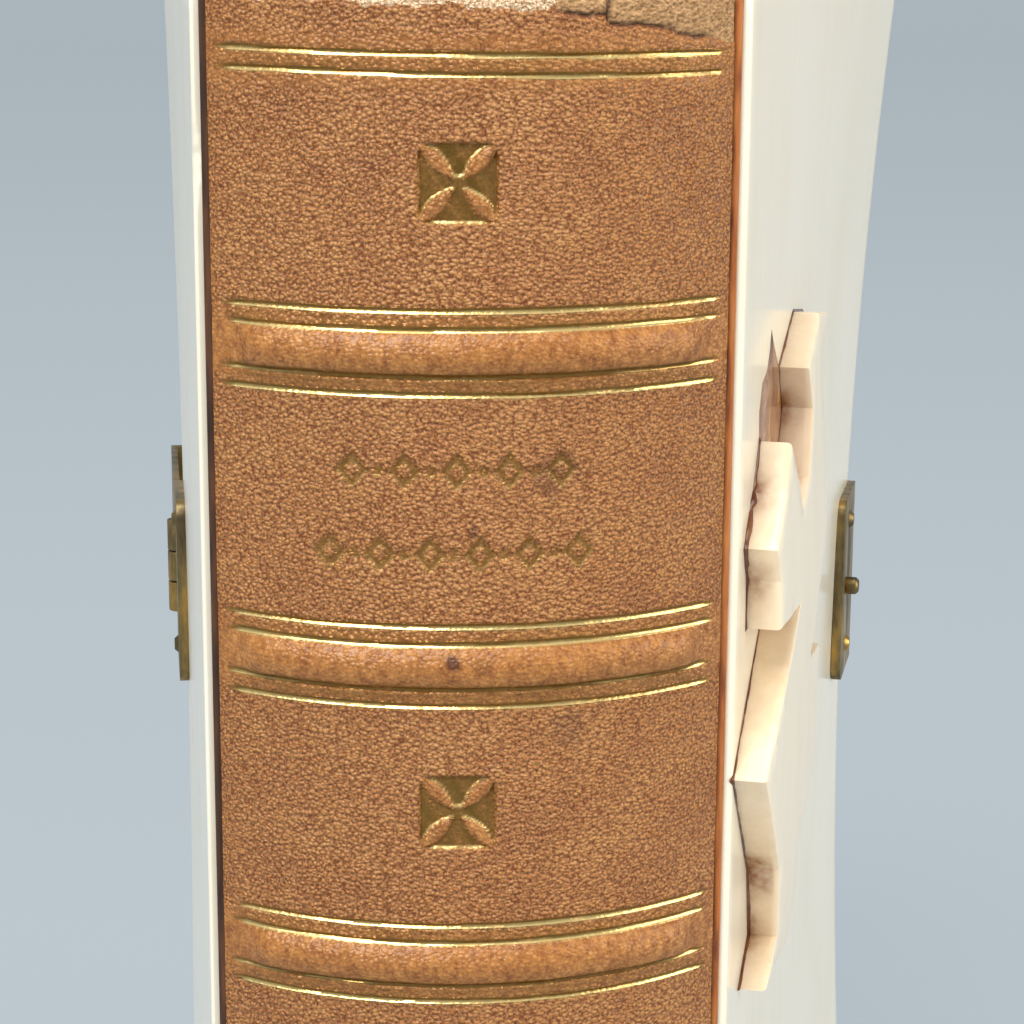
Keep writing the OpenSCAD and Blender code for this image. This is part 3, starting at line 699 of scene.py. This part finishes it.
def pebbled_calf():
    """Bark-tanned calf, boarded to a fine pebble grain: mottled tan, tooled in gold, bare suede where worn."""
    material, tree, shader, place = new_material("pebbled_calf")
    gilt, polish, worn, torn, stain, arris = (
        add(tree, ATTRIBUTE, attribute_name=name).outputs["Fac"]
        for name in ("gilt", "polish", "worn", "torn", "stain", "arris"))

    # Pebbles about a quarter of a millimetre across, bent so that they form no rows
    bend = add(tree, NOISE, {"Vector": place, "Scale": per_mm(1.0), "Detail": 2.0})
    bent = add(tree, MIX, {0: 0.00024, 4: place, 5: bend.outputs["Color"]}, data_type="VECTOR")
    leaning = add(tree, MAPPING, {"Vector": bent, "Rotation": (0, 0.5, 0), "Scale": (0.85, 1, 1.15)})
    cells = add(tree, VORONOI, {"Vector": leaning, "Scale": per_mm(0.28)})
    pebble = add(tree, RANGE, {"Value": cells, "From Min": 0.12, "From Max": 0.68, "To Min": 1.0, "To Max": 0.0})
    fine = add(tree, NOISE, {"Vector": place, "Scale": per_mm(0.15), "Detail": 3.0, "Roughness": 0.6})

    # Tan, darker in soft patches; darker in the creases between the pebbles, which is painted shade, with pale specks
    # that are painted highlights
    mottle = add(tree, NOISE, {"Vector": place, "Scale": per_mm(4.5), "Detail": 5.0, "Roughness": 0.65})
    tan = add(tree, RAMP, {"Fac": mottle}, stops=[
        (0.3, tone("#864a1c")), (0.48, tone("#aa6c32")), (0.7, tone("#c28b4c"))])
    grained = add(tree, MIX, {0: pebble, 6: tone("#6b3714"), 7: tan}, data_type="RGBA")
    painted_highlight_specks = add(tree, RANGE, {"Value": fine, "From Min": 0.42, "From Max": 0.68, "To Max": 0.62})
    grained = add(tree, MIX, {0: painted_highlight_specks, 6: grained, 7: tone("#cf9c63")}, data_type="RGBA")

    # Burnished and browner over the bands, where hands rub
    drawn = add(tree, MAPPING, {"Vector": place, "Scale": (1, 1, 0.55)})
    rubbed = add(tree, NOISE, {"Vector": drawn, "Scale": per_mm(0.5), "Detail": 4.0, "Roughness": 0.65})
    rubbed = add(tree, RANGE, {"Value": rubbed, "From Min": 0.34, "From Max": 0.68})
    burnished = add(tree, MIX, {0: rubbed, 6: tone("#7a451c"), 7: tone("#bd8445")}, data_type="RGBA")
    share = add(tree, MATH, {0: polish, 1: 0.66}, operation="MULTIPLY")
    dark = add(tree, MIX, {0: share, 6: grained, 7: burnished}, data_type="RGBA")
    spotted = add(tree, MIX, {0: stain, 6: dark, 7: tone("#4f2a18")}, data_type="RGBA")

    # Gold leaf, flaked on the flats; bright on the upward-facing lower wall of each rule and dull in its floor, a
    # painted highlight and painted shade
    flaked = add(tree, NOISE, {"Vector": place, "Scale": per_mm(0.4), "Detail": 3.0})
    flaked = add(tree, RANGE, {"Value": flaked, "From Min": 0.3, "From Max": 0.5, "To Min": 0.66, "To Max": 1.0})
    gold_share = add(tree, MATH, {0: gilt, 1: flaked}, operation="MULTIPLY")
    gold = add(tree, MIX, {0: arris, 6: tone("#84622c"), 7: tone("#ffe39a")}, data_type="RGBA")
    tooled = add(tree, MIX, {0: gold_share, 6: spotted, 7: gold}, data_type="RGBA")

    # Suede where the surface has rubbed off, fibres where it is torn away
    fray = add(tree, NOISE, {"Vector": place, "Scale": per_mm(0.45), "Detail": 5.0, "Roughness": 0.7})
    edge = add(tree, MATH, {0: worn, 1: fray}, operation="ADD")
    bare = add(tree, RANGE, {"Value": edge, "From Min": 0.88, "From Max": 1.04})
    speck = add(tree, NOISE, {"Vector": place, "Scale": per_mm(0.14), "Detail": 4.0, "Roughness": 0.8})
    speck = add(tree, RANGE, {"Value": speck, "From Min": 0.42, "From Max": 0.6})
    suede = add(tree, MIX, {0: speck, 6: tone("#8f6336"), 7: tone("#ecd7b6")}, data_type="RGBA")
    combed = add(tree, MAPPING, {"Vector": place, "Scale": (0.5, 1, 1)})
    hair = add(tree, NOISE, {"Vector": combed, "Scale": per_mm(0.2), "Detail": 5.0, "Roughness": 0.8})
    hair = add(tree, RANGE, {"Value": hair, "From Min": 0.35, "From Max": 0.65})
    fibre = add(tree, MIX, {0: hair, 6: tone("#74502c"), 7: tone("#c8a274")}, data_type="RGBA")
    fibre = add(tree, MIX, {0: stain, 6: fibre, 7: tone("#3a2417")}, data_type="RGBA")
    edge = add(tree, MATH, {0: torn, 1: fray}, operation="ADD")
    opened = add(tree, RANGE, {"Value": edge, "From Min": 0.9, "From Max": 1.05})
    skin = add(tree, MIX, {0: bare, 6: tooled, 7: suede}, data_type="RGBA")
    colour = add(tree, MIX, {0: opened, 6: skin, 7: fibre}, data_type="RGBA")

    # Waxed leather glints, gold more, bare leather hardly
    gloss = add(tree, RANGE, {"Value": polish, "To Min": 0.42, "To Max": 0.25})
    gloss = add(tree, MIX, {0: gold_share, 2: gloss, 3: 0.27}, data_type="FLOAT")
    rough = add(tree, MATH, {0: bare, 1: opened}, operation="MAXIMUM")
    gloss = add(tree, MIX, {0: rough, 2: gloss, 3: 0.85}, data_type="FLOAT")

    # Relief of the grain, pressed flat where it is tooled or rubbed
    flat = add(tree, RANGE, {"Value": gilt, "From Min": 0.3, "From Max": 0.7, "To Min": 1.0, "To Max": 0.12})
    calm = add(tree, RANGE, {"Value": polish, "To Min": 1.0, "To Max": 0.45})
    swell = add(tree, MATH, {0: pebble, 1: calm}, operation="MULTIPLY")
    swell = add(tree, MATH, {0: swell, 1: flat}, operation="MULTIPLY")
    bump = add(tree, BUMP, {"Height": swell, "Strength": 0.9, "Distance": 0.12 * MM})
    tooth = add(tree, MATH, {0: fine, 1: flat}, operation="MULTIPLY")
    bump = add(tree, BUMP, {"Height": tooth, "Strength": 0.55, "Distance": 0.06 * MM, "Normal": bump})
    metal = add(tree, MATH, {0: gold_share, 1: 0.85}, operation="MULTIPLY")
    feed(tree, shader, {"Base Color": colour, "Metallic": metal, "Roughness": gloss, "Normal": bump, "IOR": 1.5,
                        "Specular IOR Level": 0.38})
    return material


def joint_calf(name, codes):
    """The same calf, thin and stretched over the joint: smooth, darker in the hollows of its folds as painted shade,
    orange-brown where it is rubbed.
    """
    material, tree, shader, place = new_material(name)
    drawn = add(tree, MAPPING, {"Vector": place, "Scale": (1, 1, 0.12)})
    fold = add(tree, NOISE, {"Vector": drawn, "Scale": per_mm(0.5), "Detail": 4.0})
    colour = add(tree, RAMP, {"Fac": fold}, stops=[
        (0.3, tone(codes[0])), (0.5, tone(codes[1])), (0.75, tone(codes[2]))])
    bump = add(tree, BUMP, {"Height": fold, "Strength": 0.4, "Distance": 0.1 * MM})
    feed(tree, shader, {"Base Color": colour, "Normal": bump, "Roughness": 0.5})
    return material


def old_ivory(name, warm, rough):
    """Polished ivory-coloured plate: cream, faint lengthwise grain. The cross is given warmer tones on its walls, a
    painted reflection of the leather, and is darker at the foot of its walls and in its corners, partly stain and
    partly painted shade; the plates' near faces are browned and the back one greyed, as painted shade.
    """
    material, tree, shader, place = new_material(name)
    drawn = add(tree, MAPPING, {"Vector": place, "Scale": (1, 1, 0.05)})
    grain = add(tree, NOISE, {"Vector": drawn, "Scale": per_mm(0.9), "Detail": 4.0})
    cloud = add(tree, NOISE, {"Vector": place, "Scale": per_mm(16), "Detail": 3.0})
    both = add(tree, MIX, {0: 0.35, 2: cloud, 3: grain}, data_type="FLOAT")
    cream = add(tree, RAMP, {"Fac": both}, stops=[(0.3, tone(warm[0])), (0.5, tone(warm[1])), (0.7, tone(warm[2]))])
    face, dirt_and_shade, grey = (add(tree, ATTRIBUTE, attribute_name=name).outputs["Fac"] for name in ("face", "dirt_and_shade", "grey"))
    # The top face of the cross stays paler; the warmth of its walls is a painted reflection of the leather
    share = add(tree, MATH, {0: face, 1: 0.75}, operation="MULTIPLY")
    paler = add(tree, MIX, {0: share, 6: cream, 7: tone("#e6e0cd")}, data_type="RGBA")
    # Painted shade: the back plate's near face is greyed
    greyed = add(tree, MIX, {0: grey, 6: paler, 7: tone("#8f8c86")}, data_type="RGBA")
    uneven = add(tree, NOISE, {"Vector": place, "Scale": per_mm(1.2), "Detail": 4.0, "Roughness": 0.6})
    uneven = add(tree, RANGE, {"Value": uneven, "From Min": 0.3, "From Max": 0.7, "To Min": 0.5, "To Max": 1.2})
    # Stain and painted shade in the cross's corners and at its foot, painted shade on the plates' near faces
    share = add(tree, MATH, {0: dirt_and_shade, 1: uneven}, operation="MULTIPLY")
    colour = add(tree, MIX, {0: share, 6: greyed, 7: tone("#8f5420")}, data_type="RGBA")
    bump = add(tree, BUMP, {"Height": grain, "Strength": 0.06, "Distance": 0.05 * MM})
    feed(tree, shader, {"Base Color": colour, "Normal": bump, "Roughness": rough, "IOR": 1.53,
                        "Subsurface Weight": 0.12, "Subsurface Radius": (1.0, 0.75, 0.5), "Subsurface Scale": 1.0 * MM})
    return material


def dried_glue():
    """Animal glue with a century of grime, glossy: brown, which in the notch is partly a painted reflection, and
    darkened by its dark mark, which along the foot of the cross is partly painted shade.
    """
    material, tree, shader, place = new_material("dried_glue")
    patchy = add(tree, NOISE, {"Vector": place, "Scale": per_mm(1.4), "Detail": 4.0})
    brown = add(tree, RAMP, {"Fac": patchy}, stops=[
        (0.36, tone("#8d5c33")), (0.5, tone("#a67549")), (0.64, tone("#b98c62"))])
    dark = add(tree, ATTRIBUTE, attribute_name="dark").outputs["Fac"]
    colour = add(tree, MIX, {0: dark, 6: brown, 7: tone("#5a2809")}, data_type="RGBA")
    feed(tree, shader, {"Base Color": colour, "Roughness": 0.2})
    return material


def tarnished_brass():
    """Rolled brass sheet, tarnished olive and brown, rubbed golden where fingers touch."""
    material, tree, shader, place = new_material("tarnished_brass")
    drawn = add(tree, MAPPING, {"Vector": place, "Scale": (1, 1, 0.3)})
    patch = add(tree, NOISE, {"Vector": drawn, "Scale": per_mm(2.2), "Detail": 5.0, "Roughness": 0.65})
    colour = add(tree, RAMP, {"Fac": patch}, stops=[
        (0.34, tone("#574c3a")), (0.5, tone("#84724b")), (0.64, tone("#b58f4c")), (0.78, tone("#d9b56b"))])
    gloss = add(tree, RANGE, {"Value": patch, "From Min": 0.3, "From Max": 0.75, "To Min": 0.52, "To Max": 0.27})
    pits = add(tree, NOISE, {"Vector": place, "Scale": per_mm(0.25), "Detail": 2.0})
    bump = add(tree, BUMP, {"Height": pits, "Strength": 0.25, "Distance": 0.03 * MM})
    feed(tree, shader, {"Base Color": colour, "Roughness": gloss, "Normal": bump, "Metallic": 0.9})
    return material


def leaf_edges():
    """Cut edges of rag paper: hundreds of leaves as fine uneven lines, browned by air."""
    material, tree, shader, place = new_material("leaf_edges")
    drawn = add(tree, MAPPING, {"Vector": place, "Scale": (1, 0.012, 0.012)})
    leaves = add(tree, NOISE, {"Vector": drawn, "Scale": per_mm(0.18), "Detail": 3.0, "Roughness": 0.7})
    age = add(tree, NOISE, {"Vector": place, "Scale": per_mm(12), "Detail": 3.0})
    both = add(tree, MIX, {0: 0.35, 2: leaves, 3: age}, data_type="FLOAT")
    colour = add(tree, RAMP, {"Fac": both}, stops=[
        (0.3, tone("#b79a6a")), (0.5, tone("#dcc79d")), (0.7, tone("#efe2c4"))])
    bump = add(tree, BUMP, {"Height": leaves, "Strength": 0.5, "Distance": 0.08 * MM})
    feed(tree, shader, {"Base Color": colour, "Normal": bump, "Roughness": 0.85})
    return material


def plain_stuff(name, codes, size, rough, strength):
    """Paper, card, cloth or silk: three near tones in a fine noise, with a little tooth."""
    material, tree, shader, place = new_material(name)
    tooth = add(tree, NOISE, {"Vector": place, "Scale": per_mm(size), "Detail": 4.0})
    colour = add(tree, RAMP, {"Fac": tooth}, stops=[
        (0.32, tone(codes[0])), (0.5, tone(codes[1])), (0.68, tone(codes[2]))])
    bump = add(tree, BUMP, {"Height": tooth, "Strength": strength, "Distance": 0.08 * MM})
    feed(tree, shader, {"Base Color": colour, "Normal": bump, "Roughness": rough})
    return material


def dress(piece, material):
    piece.data.materials.clear()
    piece.data.materials.append(material)


calf = pebbled_calf()
joint = joint_calf("joint_calf", ("#7a3d17", "#b0652b", "#c98243"))
# A darker copy of the joint calf for the back joint: painted shade
shaded_joint = joint_calf("shaded_joint_calf", ("#2e1a0e", "#4a2c17", "#6b4223"))
ivory = old_ivory("old_ivory", ("#ebe3cb", "#efe9d5", "#f1ecdc"), 0.17)
# Warmer than the plates' ivory: a painted reflection of the leather on the walls of the cross
carved = old_ivory("carved_ivory", ("#edd3ae", "#f6e1c1", "#fbebd1"), 0.27)
glue = dried_glue()
brass = tarnished_brass()
paper_edge = leaf_edges()
endpaper = plain_stuff("wove_paper", ("#dccdab", "#e8dcc0", "#f0e7d1"), 3.0, 0.8, 0.2)
card = plain_stuff("grey_card", ("#7d7058", "#958769", "#a89a7b"), 0.6, 0.9, 0.5)
mull = plain_stuff("mull_cloth", ("#bfae86", "#d2c29b", "#e2d5b4"), 0.4, 0.9, 0.5)
silk = plain_stuff("silk_thread", ("#c9b688", "#ddcca2", "#ece0c0"), 0.3, 0.5, 0.3)

dress(tooled_spine(), calf)
dress(cover_plate("front_cover_plate", "front_plate", "front_cover", 1, FRONT_OPEN, FRONT_BOW), ivory)
dress(cover_plate("back_cover_plate", "back_plate", "back_cover", -1, BACK_OPEN, BACK_BOW, chip=1), ivory)
cross = carved_cross()
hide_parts("cover_ornament")
dress(cross, carved)
dress(glue_line(), glue)
# Brown pool in the notch: partly glue, partly a painted reflection of a shaded wall of the cross
dress(glue_and_reflection_blob("glue_in_notch", (13.8, 86.6), [
    (8.9, 86.2), (11.3, 83.4), (14.8, 80.4), (18.0, 82.0), (19.8, 86.3), (17.6, 89.4), (16.2, 90.3),
    (14.4, 91.6), (13.2, 92.6), (12.8, 91.4), (11.6, 90.2), (9.6, 89.8), (8.6, 88.2)], 0.22), glue)
leaf_slabs(paper_edge)
silk_turns("headband_silk", "headband", 113.15, silk)
silk_turns("tailband_silk", "tailband", 1.35, silk)
for node, name, width in (
    ("front_clasp_plate", "front_clasp_brass", 0.15), ("back_clasp_plate", "back_clasp_brass", 0.12),
    ("catch_stud", "catch_stud_brass", 0.08), ("clasp_strap", "clasp_strap_brass", 0.1),
):
    dress(worked_metal(node, name, width), brass)

for name, material in (
    ("front_endpaper", endpaper), ("back_endpaper", endpaper),
    ("spine_mull", mull), ("hollow_back", card), ("band_strips", card),
    ("front_board", card), ("back_board", card), ("front_pastedown", endpaper), ("back_pastedown", endpaper),
    ("front_joint_leather", joint), ("back_joint_leather", shaded_joint), ("front_clasp_rivets", brass),
    ("back_clasp_rivets", brass), ("clasp_hinge_pin", brass),
):
    dress(frame["nodes"][name], material)


# Ground, lamps and camera

def pale_ground():
    """Matt grey-blue paper sweep, evened out for the camera, with the book's shadow still on it."""
    material, tree, shader, place = new_material("pale_ground")
    feed(tree, shader, {"Base Color": tone("#b7bfc6"), "Roughness": 0.9})
    ray = add(tree, "ShaderNodeLightPath")
    seen = add(tree, MATH, {0: ray.outputs["Is Camera Ray"], 1: ray.outputs["Is Glossy Ray"]}, operation="MAXIMUM")
    seen = add(tree, MATH, {0: seen, 1: ray.outputs["Is Transmission Ray"]}, operation="MAXIMUM")
    share = add(tree, MATH, {0: seen, 1: 0.78}, operation="MULTIPLY")
    even = add(tree, "ShaderNodeEmission", {"Color": tone("#b4bfc6"), "Strength": 1.0})
    mixed = add(tree, "ShaderNodeMixShader", {0: share, 1: shader, 2: even})
    tree.links.new(mixed.outputs[0], tree.nodes["Material Output"].inputs["Surface"])
    return material


def sweep():
    """Floor that curves up into a backdrop, well behind the book."""
    points, faces = [], []
    line = [(-1.6, 0)] + [(1.6 + 0.6 * math.sin(a), 0.6 - 0.6 * math.cos(a)) for a in np.linspace(0, math.pi / 2, 16)]
    line.append((2.2, 2.2))
    for y, z in line:
        points += [(-2.6, y, z), (2.6, y, z)]
    for i in range(len(line) - 1):
        faces.append((2 * i, 2 * i + 1, 2 * i + 3, 2 * i + 2))
    mesh = bpy.data.meshes.new("ground")
    mesh.from_pydata(points, [], faces)
    mesh.shade_smooth()
    ground = bpy.data.objects.new("ground", mesh)
    bpy.context.scene.collection.objects.link(ground)
    dress(ground, pale_ground())


def lamp(name, place, target, size, watts, code):
    data = bpy.data.lights.new(name, "AREA")
    data.shape, data.size, data.size_y = "RECTANGLE", size[0], size[1]
    data.energy, data.color = watts, tone(code)[:3]
    light = bpy.data.objects.new(name, data)
    light.location = place
    light.rotation_euler = (Vector(target) - Vector(place)).to_track_quat("-Z", "Y").to_euler()
    bpy.context.scene.collection.objects.link(light)


sweep()
middle = (0, 0.02, 0.08)
lamp("key", (-0.35, -0.55, 0.75), middle, (0.5, 0.35), 9, "#fff6ea")
lamp("side", (0.75, -0.25, 0.35), middle, (0.5, 0.6), 5, "#fff2e0")
lamp("top", (-0.12, -0.12, 0.9), middle, (0.45, 0.45), 5, "#f4f7ff")
world = bpy.data.worlds.new("studio")
bpy.context.scene.world = world
world.use_nodes = True
world.node_tree.nodes["Background"].inputs["Color"].default_value = tone("#dfe8f2")
world.node_tree.nodes["Background"].inputs["Strength"].default_value = 0.45

data = bpy.data.cameras.new("camera")
data.lens, data.sensor_width = 94.5, 36
data.clip_start = 0.01
camera = bpy.data.objects.new("camera", data)
bpy.context.scene.collection.objects.link(camera)
yaw, pitch, roll = math.radians(4.37), math.radians(13.66), math.radians(0.34)
ahead = Vector((math.sin(yaw) * math.cos(pitch), math.cos(yaw) * math.cos(pitch), -math.sin(pitch)))
right = Vector((math.cos(yaw), -math.sin(yaw), 0))
up = right.cross(ahead)
right, up = right * math.cos(roll) + up * math.sin(roll), up * math.cos(roll) - right * math.sin(roll)
turn = Matrix((right, up, -ahead)).transposed().to_4x4()
camera.matrix_world = Matrix.Translation((-0.00942, -0.15509 - ORIGIN_Y * MM, 0.12167)) @ turn
bpy.context.scene.camera = camera
bpy.context.scene.view_settings.view_transform = "Standard"
